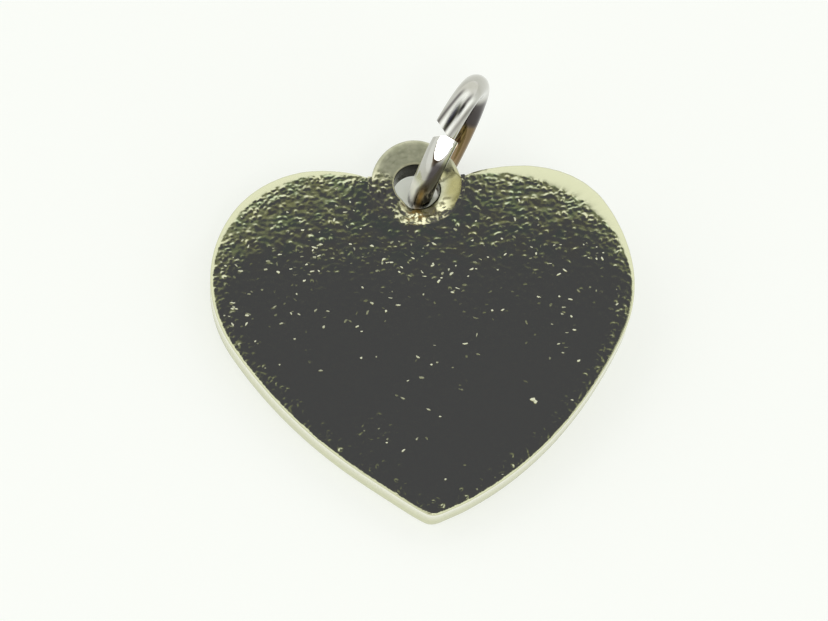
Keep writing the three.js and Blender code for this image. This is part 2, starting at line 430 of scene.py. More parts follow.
PLATE_GRAIN = (Grain("coarse", 0.3, 0.028), Grain("middle", 0.17, 0.022))
SOLDER_LUMPS = (Grain("lumps", 0.4, 0.17), Grain("ripples", 0.2, 0.09))
FACE_GRAIN = 0.64
BEAD_BELOW = (-0.4, -0.8)
BEAD_ACROSS = (-0.9, -0.4, 0.9, 1.5)
BEAD_EDGE = (1.87, 1.8)


def bead(across: np.ndarray, along: np.ndarray) -> np.ndarray:
    """How much of the solder bead lies at each place right of and above the eye's middle, 0 to 1."""
    made = smooth(*BEAD_BELOW, along) * band(BEAD_ACROSS, across)
    return made * smooth(*BEAD_EDGE, np.hypot(across, along))


@dataclass(frozen=True)
class Flakes:
    """Small raised flakes on the front, thick along its top and thin towards the tip."""

    seed: int = 11
    left: float = -8.0
    bottom: float = -10.4
    right: float = 8.0
    top: float = 4.4
    most: float = 24.0
    lean: float = 0.7
    middle: Span = (0.0, -1.0)
    edge_start: float = 0.03
    edge_heights: Span = (0.006, 0.016)
    patch_middle: Span = (-2.2, -6.85)
    patch_size: float = 0.45
    patch_count: int = 60
    patch_heights: Span = (0.004, 0.012)
    heights: Span = (0.25, 1.0)
    lengths: Span = (0.05, 0.12)
    widths: Span = (0.04, 0.06)
    levels: tuple[float, ...] = (-10.4, -7.0, -5.0, -3.0, -1.2, -0.2, 0.7, 1.7, 3.0, 4.4)
    counts: tuple[float, ...] = (0.0, 0.0, 0.0, 0.0, 1.0, 4.0, 10.0, 18.0, 24.0, 24.0)
    tallest: tuple[float, ...] = (0.02, 0.02, 0.02, 0.02, 0.02, 0.02, 0.02, 0.018, 0.014, 0.014)

    def shaped(self, dice: np.random.Generator, place: np.ndarray, heights: Span) -> np.ndarray:
        """Gives placed flakes their shapes.

        Args:
            dice: Source of the random draws.
            place: Where the flakes are, across and up.
            heights: Least and greatest height.

        Returns:
            One line per flake: place across and up, half length, half width, turn and height.
        """
        spans = (self.lengths, self.widths, (0.0, math.pi), heights)
        return np.column_stack([place, *(dice.uniform(*span, len(place)) for span in spans)])

    def scatter(self) -> np.ndarray:
        """Places the flakes.

        Returns:
            One line per flake, as for shaped.
        """
        dice = np.random.default_rng(self.seed)
        tries = int((self.right - self.left) * (self.top - self.bottom) * self.most)
        x = dice.uniform(self.left, self.right, tries)
        y = dice.uniform(self.bottom, self.top, tries)
        stay = dice.uniform(0.0, self.most, tries) < np.interp(y, self.levels, self.counts)
        made = self.shaped(dice, np.stack([x, y], axis=1), self.heights)
        made[:, 5] *= np.interp(y, self.levels, self.tallest)
        return made[stay]

    def along_edge(self, edge: np.ndarray, count: int, reach: float) -> np.ndarray:
        """Places flakes along an edge.

        Args:
            edge: Closed row of points.
            count: Number of flakes.
            reach: How far in they go.

        Returns:
            One line per flake, as for shaped.
        """
        dice = np.random.default_rng(self.seed + 1)
        which = dice.integers(0, len(edge), count)
        inward = np.array(self.middle) - edge[which]
        inward /= np.linalg.norm(inward, axis=1, keepdims=True)
        place = edge[which] + inward * dice.uniform(self.edge_start, reach, count)[:, None]
        return self.shaped(dice, place, self.edge_heights)

    def cluster(self) -> np.ndarray:
        """Places a loose patch of low flakes on the lower left of the face.

        Returns:
            One line per flake, as for shaped.
        """
        dice = np.random.default_rng(self.seed + 2)
        place = np.array(self.patch_middle) + dice.normal(0.0, self.patch_size, (self.patch_count, 2))
        return self.shaped(dice, place, self.patch_heights)

    def lift(self, spots: np.ndarray, more: np.ndarray | None = None) -> np.ndarray:
        """Height of the flakes at each point of the front.

        Args:
            spots: Points in the drawing, across and up.
            more: More flakes, one line each.

        Returns:
            The height at each point, in millimetres.
        """
        made = np.zeros(len(spots))
        flakes = self.scatter()
        if more is not None:
            flakes = np.concatenate([flakes, more])
        for x, y, length, width, turn, height in flakes:
            dx, dy = spots[:, 0] - x, spots[:, 1] - y
            close = np.flatnonzero((np.abs(dx) < length) & (np.abs(dy) < length))
            if not len(close):
                continue
            along = dx[close] * math.cos(turn) + dy[close] * math.sin(turn)
            across = dy[close] * math.cos(turn) - dx[close] * math.sin(turn)
            apart = (along / length) ** 2 + (across / width) ** 2
            lean = 1.0 - self.lean * dy[close] / width
            made[close] += height * np.clip(1.0 - apart, 0.0, None) * lean
        return made


@dataclass(frozen=True)
class Shards:
    """Tiny chips that stand up from the face, each with a flat top that catches the light."""

    seed: int = 5
    sides: int = 6
    left: float = -8.0
    bottom: float = -10.2
    right: float = 8.0
    top: float = 4.2
    lengths: Span = (0.04, 0.11)
    widths: Span = (0.026, 0.05)
    corner_shift: float = 0.3
    corner_sizes: Span = (0.75, 1.15)
    turn_spread: float = 0.7
    leans_deg: Span = (3.0, 14.0)
    lean_shape: Span = (1.3, 1.5)
    lean_aside: float = 0.5
    root: float = 0.04
    sunk: float = 0.003
    levels: tuple[float, ...] = (-10.0, -7.0, -5.0, -3.0, -1.2, -0.2, 0.7, 1.7, 3.0, 4.0)
    counts: tuple[float, ...] = (0.7, 0.6, 0.9, 1.9, 4.0, 5.4, 5.2, 3.0, 2.0, 2.0)
    most: float = 5.4
    clumps: int = 40
    clump_size: float = 0.5
    clump_share: float = 0.3
    dings: tuple[Span, ...] = ((3.73, -5.8), (3.8, -5.87))
    ding_size: Span = (0.11, 0.085)

    def scatter(self) -> np.ndarray:
        """Places the chips, some of them in clumps.

        Returns:
            Their places, across and up.
        """
        dice = np.random.default_rng(self.seed)
        tries = int((self.right - self.left) * (self.top - self.bottom) * self.most)
        x = dice.uniform(self.left, self.right, tries)
        spots = np.stack([x, dice.uniform(self.bottom, self.top, tries)], axis=1)
        joined = dice.uniform(size=tries) < self.clump_share
        middles = spots[dice.integers(0, tries, self.clumps)]
        near = middles[dice.integers(0, self.clumps, tries)]
        near = near + dice.normal(0.0, self.clump_size, (tries, 2))
        spots = np.where(joined[:, None], near, spots)
        stay = dice.uniform(0.0, self.most, tries) < np.interp(spots[:, 1], self.levels, self.counts)
        return np.concatenate([spots[stay], np.array(self.dings)])

    def build(self, spots: np.ndarray, height: np.ndarray) -> bpy.types.Object:
        """Makes all the chips as one mesh, from a prism each.

        Args:
            spots: Places of the chips, the dings last.
            height: Height of the face at each.

        Returns:
            The new object, in drawing millimetres.
        """
        dice = np.random.default_rng(self.seed + 1)
        prism = {"vertices": self.sides, "radius": 1.0, "depth": 2.0, "end_fill_type": "NGON"}
        Bench.clear()
        bpy.ops.mesh.primitive_cylinder_add(**prism)
        made = bpy.context.object
        made.name = "chips"
        drawn = Bench.spots(made)
        side = np.floor(np.arctan2(drawn[:, 1], drawn[:, 0]) / TAU * self.sides).astype(int) % self.sides
        above = drawn[:, 2] > 0.0
        bpy.ops.object.mode_set(mode="EDIT")
        for _ in range(len(spots) - 1):
            bpy.ops.mesh.primitive_cylinder_add(**prism)
        Bench.clear()
        corners = []
        low, high = self.leans_deg
        for index, ((x, y), level) in enumerate(zip(spots, height)):
            shift = dice.uniform(-self.corner_shift, self.corner_shift, self.sides)
            a = TAU * (np.arange(self.sides) + shift) / self.sides
            size = dice.uniform(*self.corner_sizes, self.sides)
            half = dice.uniform(*self.lengths), dice.uniform(*self.widths)
            ding = index >= len(spots) - len(self.dings)
            half = self.ding_size if ding else half
            u, v = half[0] * np.cos(a) * size, half[1] * np.sin(a) * size
            turn = dice.normal(0.0, self.turn_spread)
            dx = u * math.cos(turn) - v * math.sin(turn)
            dy = u * math.sin(turn) + v * math.cos(turn)
            lean = high if ding else low + (high - low) * dice.beta(*self.lean_shape)
            towards = 0.0 if ding else dice.normal(0.0, self.lean_aside)
            slope = math.tan(math.radians(lean))
            rise = -slope * (dx * math.sin(towards) + dy * math.cos(towards))
            top = level - self.sunk + rise - rise.min()
            tall = np.where(above, top[side], level - self.root)
            corners.append(np.stack([x + dx[side], y + dy[side], tall], axis=1))
        Bench.move(made, np.concatenate(corners))
        return made


class Flat:
    """Measures between points and outlines in the plane of the drawing."""

    chunk: int = 4000
    least_mitre: float = 0.6

    @staticmethod
    def arc(centre: Span, radius: float, start: float, stop: float, count: int) -> np.ndarray:
        """Points on an arc, last point left out.

        Args:
            centre: Centre of the arc.
            radius: Radius of the arc.
            start: First angle in radians.
            stop: Last angle in radians.
            count: Number of points.

        Returns:
            The points, one line each.
        """
        a = start + (stop - start) * np.arange(count) / count
        return np.stack([centre[0] + radius * np.cos(a), centre[1] + radius * np.sin(a)], axis=1)

    @staticmethod
    def eased(values: np.ndarray, times: int) -> np.ndarray:
        """Softens the steps of a closed row of values.

        Args:
            values: The row.
            times: How often it is softened.

        Returns:
            The softer row.
        """
        for _ in range(times):
            values = 0.25 * np.roll(values, 1) + 0.5 * values + 0.25 * np.roll(values, -1)
        return values

    @staticmethod
    def inset(points: np.ndarray, amount: np.ndarray) -> np.ndarray:
        """Moves an outline inwards, with mitred corners.

        Args:
            points: Closed outline, clockwise.
            amount: How far each point moves.

        Returns:
            The moved outline.
        """
        before = points - np.roll(points, 1, axis=0)
        after = np.roll(points, -1, axis=0) - points
        before /= np.linalg.norm(before, axis=1, keepdims=True)
        after /= np.linalg.norm(after, axis=1, keepdims=True)
        inward = np.stack([before[:, 1] + after[:, 1], -before[:, 0] - after[:, 0]], axis=1)
        inward /= np.linalg.norm(inward, axis=1, keepdims=True)
        mitre = inward[:, 0] * before[:, 1] - inward[:, 1] * before[:, 0]
        return points + inward * (amount / np.maximum(Flat.least_mitre, mitre))[:, None]

    @staticmethod
    def nearest(points: np.ndarray, row: np.ndarray) -> tuple[np.ndarray, np.ndarray]:
        """Finds the nearest point of a row, for a few thousand points at a time.

        Args:
            points: The points to start from.
            row: The row to look in.

        Returns:
            The distance from each point, and which point of the row it is.
        """
        apart = np.empty(len(points))
        which = np.empty(len(points), int)
        for start in range(0, len(points), Flat.chunk):
            part = slice(start, start + Flat.chunk)
            gap = ((points[part, None, :] - row[None, :, :]) ** 2).sum(axis=2)
            which[part] = gap.argmin(axis=1)
            apart[part] = np.sqrt(gap.min(axis=1))
        return apart, which

    @staticmethod
    def inside(points: np.ndarray, outline: np.ndarray) -> np.ndarray:
        """Tells which points lie inside a closed outline.

        Args:
            points: The points.
            outline: The closed outline.

        Returns:
            Whether each point lies inside.
        """
        found = np.zeros(len(points), bool)
        x, y = points[:, 0], points[:, 1]
        for (ax, ay), (bx, by) in zip(outline, np.roll(outline, -1, axis=0)):
            crosses = (ay > y) != (by > y)
            if ay != by:
                found ^= crosses & (x < (bx - ax) * (y - ay) / (by - ay) + ax)
        return found


@dataclass
class HeartPlate:
    """Flat heart with a grained face, a rolled front edge and a half-round seat for the eye."""

    place: RestingPlace
    finish: MetalFinish
    width: float = 16.0
    lobe_radius: float = 4.05
    flank_radius: float = 5.25
    side_radius: float = 17.9
    lobe_end_deg: float = 34.0
    flank_end_deg: float = -30.0
    tip_radius: float = 0.6
    half_thickness: float = HALF_THICKNESS
    back_round: float = 0.14
    back_steps: int = 3
    eye_rise: float = EYE_RISE
    seat_radius: float = 1.85
    seat_step: float = 0.03
    seat_points: int = 72
    arc_points: tuple[int, int, int, int] = (132, 110, 180, 12)
    lobe_fuller: float = 0.26
    lobe_fuller_deg: Span = (52.0, 28.0)
    flank_fuller: float = 0.17
    flank_fuller_at: Span = (0.8, 0.19)
    flank_fuller_end: Span = (0.99, 0.93)
    tip_shift: Span = (-0.24, -0.04)
    tip_reach: float = 1.6
    right_roll: tuple[Span, ...] = (
        (0.0, 0.05), (0.03, 0.16), (0.09, 0.42), (0.16, 0.7), (0.22, 0.9),
        (0.29, 0.78), (0.36, 0.34), (0.45, 0.1), (0.6, 0.05), (1.0, 0.05),
    )
    left_roll: tuple[Span, ...] = (
        (0.0, 0.05), (0.03, 0.1), (0.1, 0.24), (0.2, 0.36),
        (0.28, 0.3), (0.38, 0.1), (0.6, 0.05), (1.0, 0.05),
    )
    tip_roll: float = 0.05
    roll_ripple: float = 0.07
    roll_start_deg: float = 34.0
    roll_steps: int = 9
    roll_depth: Span = (0.08, 0.22)
    width_easing: int = 4
    depth_easing: int = 6
    wall_rows: tuple[float, ...] = (0.35, 0.75)
    crown: float = 0.16
    crown_sides: Span = (-0.1, 0.9)
    crown_least: float = 0.2
    crown_reach: Span = (0.8, 2.7)
    crown_from_seat: float = 1.6
    cell: float = 0.0465
    cell_clear: float = 0.7
    flakes: Flakes = field(default_factory=Flakes)
    edge_flakes: int = 700
    edge_flake_reach: float = 0.6
    grain_rise: Span = (-4.0, 2.5)
    grain_least: float = 0.3
    edge_grain: Span = (0.55, 0.2)
    edge_clear: float = 0.1
    flake_clear: float = 0.05
    ragged_reach: Span = (0.05, 0.3)
    ragged_height: Span = (0.2, 0.35)
    ragged_clear: float = 0.02
    shards: Shards = field(default_factory=Shards)
    chip_clear: float = 0.15
    chip_pale: float = 0.2
    chip_patina: float = 0.16
    even_below: Span = (-1.0, 1.5)
    rim_satin: float = 0.4
    # Painted reflection: the outer rows of the rim are painted pale, fully low down and fading out higher
    # up, for the white table they mirror.
    rim_reflection_pale: tuple[float, ...] = (0.8, 1.0, 0.9, 0.35)
    rim_reflection_below: Span = (-2.0, 1.0)

    def right_half(self) -> tuple[np.ndarray, float, float]:
        """Right half of the outline, clockwise from the horn of the seat, as if it were even.

        Returns:
            The points, how far right the lobe's middle is, and the horn's angle on the seat.
        """
        lobe_end = math.radians(self.lobe_end_deg)
        flank_end = math.radians(self.flank_end_deg)
        step = self.lobe_radius - self.flank_radius
        lobe_x = self.width / 2 - self.flank_radius - step * math.cos(lobe_end)
        flank = (lobe_x + step * math.cos(lobe_end), step * math.sin(lobe_end))
        step = self.flank_radius - self.side_radius
        side = (flank[0] + step * math.cos(flank_end), flank[1] + step * math.sin(flank_end))
        tip_y = side[1] - math.sqrt((self.side_radius - self.tip_radius) ** 2 - side[0] ** 2)
        tip_angle = math.atan2(tip_y - side[1], -side[0])
        gap = math.hypot(lobe_x, self.eye_rise)
        along = (gap**2 + self.lobe_radius**2 - self.seat_radius**2) / (2 * gap)
        across = math.sqrt(self.lobe_radius**2 - along**2)
        dx, dy = -lobe_x / gap, self.eye_rise / gap
        horn = (lobe_x + dx * along + dy * across, dy * along - dx * across)
        lobe_start = math.atan2(horn[1], horn[0] - lobe_x)
        bottom = -math.pi / 2
        centres = ((lobe_x, 0.0), flank, side, (0.0, tip_y))
        radii = (self.lobe_radius, self.flank_radius, self.side_radius, self.tip_radius)
        starts = (lobe_start, lobe_end, flank_end, tip_angle)
        stops = (lobe_end, flank_end, tip_angle, bottom)
        arcs = zip(centres, radii, starts, stops, self.arc_points)
        lowest = [[0.0, tip_y - self.tip_radius]]
        points = np.concatenate([*(Flat.arc(*drawn) for drawn in arcs), lowest])
        return points, lobe_x, math.atan2(horn[1] - self.eye_rise, horn[0])

    def fuller(self, right: np.ndarray, lobe_x: float, share: np.ndarray) -> np.ndarray:
        """How far the right half stands out past the left, on its lobe and low on its flank.

        Args:
            right: Right half of the even outline.
            lobe_x: How far right the lobe's middle is.
            share: How far along the half each point is.

        Returns:
            The way that each point moves.
        """
        angle = np.degrees(np.arctan2(right[:, 1], right[:, 0] - lobe_x))
        flank = hump(*self.flank_fuller_at, share) * smooth(*self.flank_fuller_end, share)
        amount = self.lobe_fuller * hump(*self.lobe_fuller_deg, angle) + self.flank_fuller * flank
        along = np.gradient(right, axis=0)
        outwards = np.stack([-along[:, 1], along[:, 0]], axis=1)
        outwards /= np.linalg.norm(outwards, axis=1, keepdims=True)
        return outwards * amount[:, None]

    def outline(self) -> tuple[np.ndarray, np.ndarray, np.ndarray]:
        """Outline of the plate, clockwise from the right horn of the seat.

        Returns:
            The points, the width of the rolled edge at each, and whether each is on the seat.
        """
        right, lobe_x, seat_angle = self.right_half()
        right, bottom = right[:-1], right[-1:]
        half = len(right)
        share = np.arange(half) / half
        left = right[::-1] * np.array([-1.0, 1.0])
        right = right + self.fuller(right, lobe_x, share)
        seat_ends = (math.pi - seat_angle, TAU + seat_angle)
        seat = Flat.arc((0.0, self.eye_rise), self.seat_radius, *seat_ends, self.seat_points)[1:]
        points = np.concatenate([right, bottom, left, seat])
        from_tip = np.linalg.norm(points - bottom, axis=1)
        points = points + hump(0.0, self.tip_reach, from_tip)[:, None] * np.array(self.tip_shift)
        ripple = np.sin(61.0 * share) * np.sin(23.0 * share + 1.0)
        ripple += np.sin(190.0 * share + 2.0 * np.sin(31.0 * share))
        ripple += np.sin(431.0 * share + 3.0 * np.sin(57.0 * share))
        right_roll, left_roll = (
            np.interp(share, *zip(*roll)) * (1.0 + self.roll_ripple * ripple)
            for roll in (self.right_roll, self.left_roll)
        )
        roll = np.concatenate([right_roll, [self.tip_roll], left_roll[::-1], np.zeros(len(seat))])
        on_seat = np.arange(len(points)) > 2 * half
        return points, np.where(on_seat, 0.0, Flat.eased(roll, self.width_easing)), on_seat

    def crown_drop(self, points: np.ndarray, outer: np.ndarray) -> np.ndarray:
        """How far the softly crowned face has fallen at each point, most along its upper edge.

        Args:
            points: Points on the face.
            outer: Outline without the seat.

        Returns:
            The fall of the face in millimetres.
        """
        apart, which = Flat.nearest(points, outer)
        along = np.gradient(outer, axis=0)
        north = along[:, 0] / np.linalg.norm(along, axis=1)
        upper = smooth(*self.crown_sides, north[which])
        reach = self.crown_reach[0] + self.crown_reach[1] * upper
        fall = self.crown * (self.crown_least + (1.0 - self.crown_least) * upper)
        from_seat = np.hypot(points[:, 0], points[:, 1] - self.eye_rise) - self.seat_radius
        fall = fall * smooth(0.0, self.crown_from_seat, from_seat)
        return fall * np.clip(1.0 - apart / reach, 0.0, 1.0) ** 2

    def rim_rows(self) -> tuple[list[np.ndarray], np.ndarray, np.ndarray]:
        """Rows of the rolled edge, the wall and the back edge, from the face outwards.

        Returns:
            The rows in order, the outline without the seat, and which points are on the seat.
        """
        points, roll, on_seat = self.outline()
        outer = points[~on_seat]
        depth = np.where(on_seat, 0.0, self.roll_depth[0] + self.roll_depth[1] * roll)
        depth = Flat.eased(depth, self.depth_easing)
        rows = []
        start = math.radians(self.roll_start_deg)
        for i in range(self.roll_steps + 1):
            a = start + (math.pi / 2 - start) * (i / self.roll_steps)
            past = (math.sin(a) - math.sin(start)) / (1.0 - math.sin(start))
            flat = Flat.inset(points, roll * (1.0 - past))
            rolled = depth * (1.0 - math.cos(a) / math.cos(start))
            fall = self.crown_drop(flat, outer) + np.where(on_seat, self.seat_step * i, rolled)
            rows.append(np.column_stack([flat, self.half_thickness - fall]))
        low = -self.half_thickness + self.back_round
        top = rows[-1][:, 2]
        for t in self.wall_rows:
            rows.append(np.column_stack([points, top + (low - top) * t]))
        for a in quarter_turn(self.back_steps):
            flat = Flat.inset(points, np.full(len(points), self.back_round * (1.0 - math.cos(a))))
            height = np.full(len(points), low - self.back_round * math.sin(a))
            rows.append(np.column_stack([flat, height]))
        return rows, outer, on_seat

    def face_cells(self, edge: np.ndarray) -> tuple[int, int, np.ndarray, np.ndarray]:
        """Square cells of the face that stay clear of its edge and hang together.

        Args:
            edge: Inner edge of the rolled rim.

        Returns:
            Cells across, cells up, the lower left corner, and which cells stay.
        """
        low = edge.min(axis=0) - self.cell
        across = int(math.ceil((edge[:, 0].max() + self.cell - low[0]) / self.cell))
        up = int(math.ceil((edge[:, 1].max() + self.cell - low[1]) / self.cell))
        gx, gy = np.meshgrid(np.arange(across + 1), np.arange(up + 1), indexing="ij")
        spots = np.stack([gx.ravel(), gy.ravel()], axis=1) * self.cell + low
        near, _ = Flat.nearest(spots, edge)
        good = Flat.inside(spots, edge) & (near > self.cell_clear * self.cell)
        good = good.reshape(across + 1, up + 1)
        keep = good[:-1, :-1] & good[1:, :-1] & good[:-1, 1:] & good[1:, 1:]
        joined = np.zeros_like(keep)
        joined[across // 2, up // 3] = True
        while True:
            grown = joined.copy()
            grown[1:] |= joined[:-1]
            grown[:-1] |= joined[1:]
            grown[:, 1:] |= joined[:, :-1]
            grown[:, :-1] |= joined[:, 1:]
            grown &= keep
            if grown.sum() == joined.sum():
                break
            joined = grown
        while True:
            a, b = joined[:-1, :-1], joined[1:, :-1]
            c, d = joined[:-1, 1:], joined[1:, 1:]
            first = a & d & ~b & ~c
            second = b & c & ~a & ~d
            if not first.any() and not second.any():
                break
            joined[:-1, :-1] &= ~first
            joined[1:, :-1] &= ~second
        return across, up, low, joined

    def add_face(self, plate: bpy.types.Object, edge: np.ndarray) -> None:
        """Lays a grid in the face, cuts it back to its cells and fills the gap to the rim.

        Args:
            plate: The plate's rim and back, in edit mode.
            edge: Inner edge of the rolled rim.
        """
        across, up, low, keep = self.face_cells(edge)
        bpy.ops.mesh.select_all(action="DESELECT")
        bpy.ops.mesh.primitive_grid_add(x_subdivisions=across, y_subdivisions=up, size=1.0)
        mesh = bmesh.from_edit_mesh(plate.data)
        size = np.array([across, up]) * self.cell
        for vert in mesh.verts:
            if vert.select:
                vert.co.x = low[0] + (vert.co.x + 0.5) * size[0]
                vert.co.y = low[1] + (vert.co.y + 0.5) * size[1]
                vert.co.z = self.half_thickness
        bpy.ops.mesh.select_mode(type="FACE")
        mesh = bmesh.from_edit_mesh(plate.data)
        for face in mesh.faces:
            if face.select:
                centre = face.calc_center_median()
                i = int((centre.x - low[0]) / self.cell)
                j = int((centre.y - low[1]) / self.cell)
                face.select = not keep[i, j]
        mesh.select_flush_mode()
        bmesh.update_edit_mesh(plate.data)
        bpy.ops.mesh.delete(type="FACE")
        Bench.open_edges(plate)
        bpy.ops.mesh.fill(use_beauty=True)
        Bench.clear()

    def grain_face(
        self, plate: bpy.types.Object, spots: np.ndarray, edge: np.ndarray, on_seat: np.ndarray
    ) -> None:
        """Raises the grain and the flakes of the face and makes the inside of the rim ragged.

        Args:
            plate: The crowned plate.
            spots: Places of its vertices, the rim's first.
            edge: Inner edge of the rolled rim.
            on_seat: Which points of the edge are on the seat.
        """
        rim = self.rim_size(edge)
        face = np.arange(len(spots)) >= rim
        face[:len(edge)] = on_seat
        near, _ = Flat.nearest(spots[:, :2], edge[~on_seat])
        upper = smooth(*self.grain_rise, spots[:, 1])
        weight = FACE_GRAIN * (self.grain_least + (1.0 - self.grain_least) * upper)
        weight = np.maximum(weight, smooth(*self.edge_grain, near) * (1.0 - upper))
        weight = np.where(face, weight * smooth(0.0, self.edge_clear, near), 0.0)
        Grain.add(plate, "grain", weight, PLATE_GRAIN)
        Bench.apply_modifiers(plate)
        ragged, _ = Flat.nearest(spots[:rim, :2], edge)
        reach = self.ragged_reach[0] + self.ragged_reach[1] * upper[:rim]
        inner_rim = smooth(*self.ragged_height, spots[:rim, 2]) * smooth(0.0, self.ragged_clear, ragged)
        share = np.where(face, smooth(0.0, self.flake_clear, near), 0.0)
        share[:rim] = np.maximum(share[:rim], inner_rim * smooth(reach, 0.0, ragged))
        more = self.flakes.along_edge(edge[~on_seat], self.edge_flakes, self.edge_flake_reach)
        more = np.concatenate([more, self.flakes.cluster()])
        Bench.lift(plate, share * self.flakes.lift(spots[:, :2], more))

    def rim_size(self, edge: np.ndarray) -> int:
        """Number of vertices in the rows of the rim, the wall and the back edge."""
        return len(edge) * (self.roll_steps + 1 + len(self.wall_rows) + self.back_steps + 1)

    def add_chips(self, plate: bpy.types.Object, outer: np.ndarray, edge: np.ndarray) -> None:
        """Sets the chips on the face and joins them to the plate.

        Args:
            plate: The grained plate.
            outer: Outline without the seat.
            edge: Inner edge of the rolled rim.
        """
        spots = self.shards.scatter()
        spots = spots[Flat.inside(spots, edge)]
        spots = spots[Flat.nearest(spots, edge)[0] > self.chip_clear]
        chips = self.shards.build(spots, self.half_thickness - self.crown_drop(spots, outer))
        Bench.choose(plate)
        chips.select_set(True)
        bpy.ops.object.join()

    def paint_stains_and_light(self, plate: bpy.types.Object, spots: np.ndarray, edge: np.ndarray) -> None:
        """Marks the plate: even low on the face, pale along the lower rim as a painted reflection of the
        white table, dull chips.

        Args:
            plate: The plate with its chips.
            spots: Places of its vertices without the chips, the rim's first.
            edge: Inner edge of the rolled rim.
        """
        rim, chips, total = self.rim_size(edge), len(spots), len(plate.data.vertices)
        even, satin, pale, patina = np.ones(total), np.zeros(total), np.zeros(total), np.zeros(total)
        even[rim:chips] = 1.0 - smooth(*self.even_below, spots[rim:, 1])
        satin[:rim] = self.rim_satin
        # Painted reflection of the white table: pale on the outer rows of the rim, fading out towards the
        # top.
        rows = np.zeros(rim // len(edge))
        rows[self.roll_steps - 2:self.roll_steps - 2 + len(self.rim_reflection_pale)] = self.rim_reflection_pale
        pale[:rim] = np.repeat(rows, len(edge)) * (1.0 - smooth(*self.rim_reflection_below, spots[:rim, 1]))
        pale[chips:] = self.chip_pale
        patina[chips:] = self.chip_patina
        paint(plate, even=even, satin=satin, pale=pale, patina=patina)

    def build(self) -> bpy.types.Object:
        """Models the plate: rolled edge, wall and back by extrusion, then the gridded face.

        Returns:
            The finished plate.
        """
        rows, outer, on_seat = self.rim_rows()
        edge = rows[0][:, :2]
        plate = Bench.loft("charm_plate", rows)
        bpy.ops.mesh.edge_face_add()
        self.add_face(plate, edge)
        spots = Bench.spots(plate)
        face = slice(self.rim_size(edge), None)
        spots[face, 2] = self.half_thickness - self.crown_drop(spots[face, :2], outer)
        Bench.move(plate, spots)
        self.grain_face(plate, spots, edge, on_seat)
        self.add_chips(plate, outer, edge)
        Bench.settle(plate, self.place.matrix())
        self.paint_stains_and_light(plate, spots, edge)
        return plate

    def dress(self, plate: bpy.types.Object) -> None:
        """Gives the plate its metal and its place in the model.

        Args:
            plate: The finished plate.
        """
        plate.data.materials.append(self.finish.material())
        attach(plate, Body.CHARM.value)
        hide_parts(Node.PLATE.value)


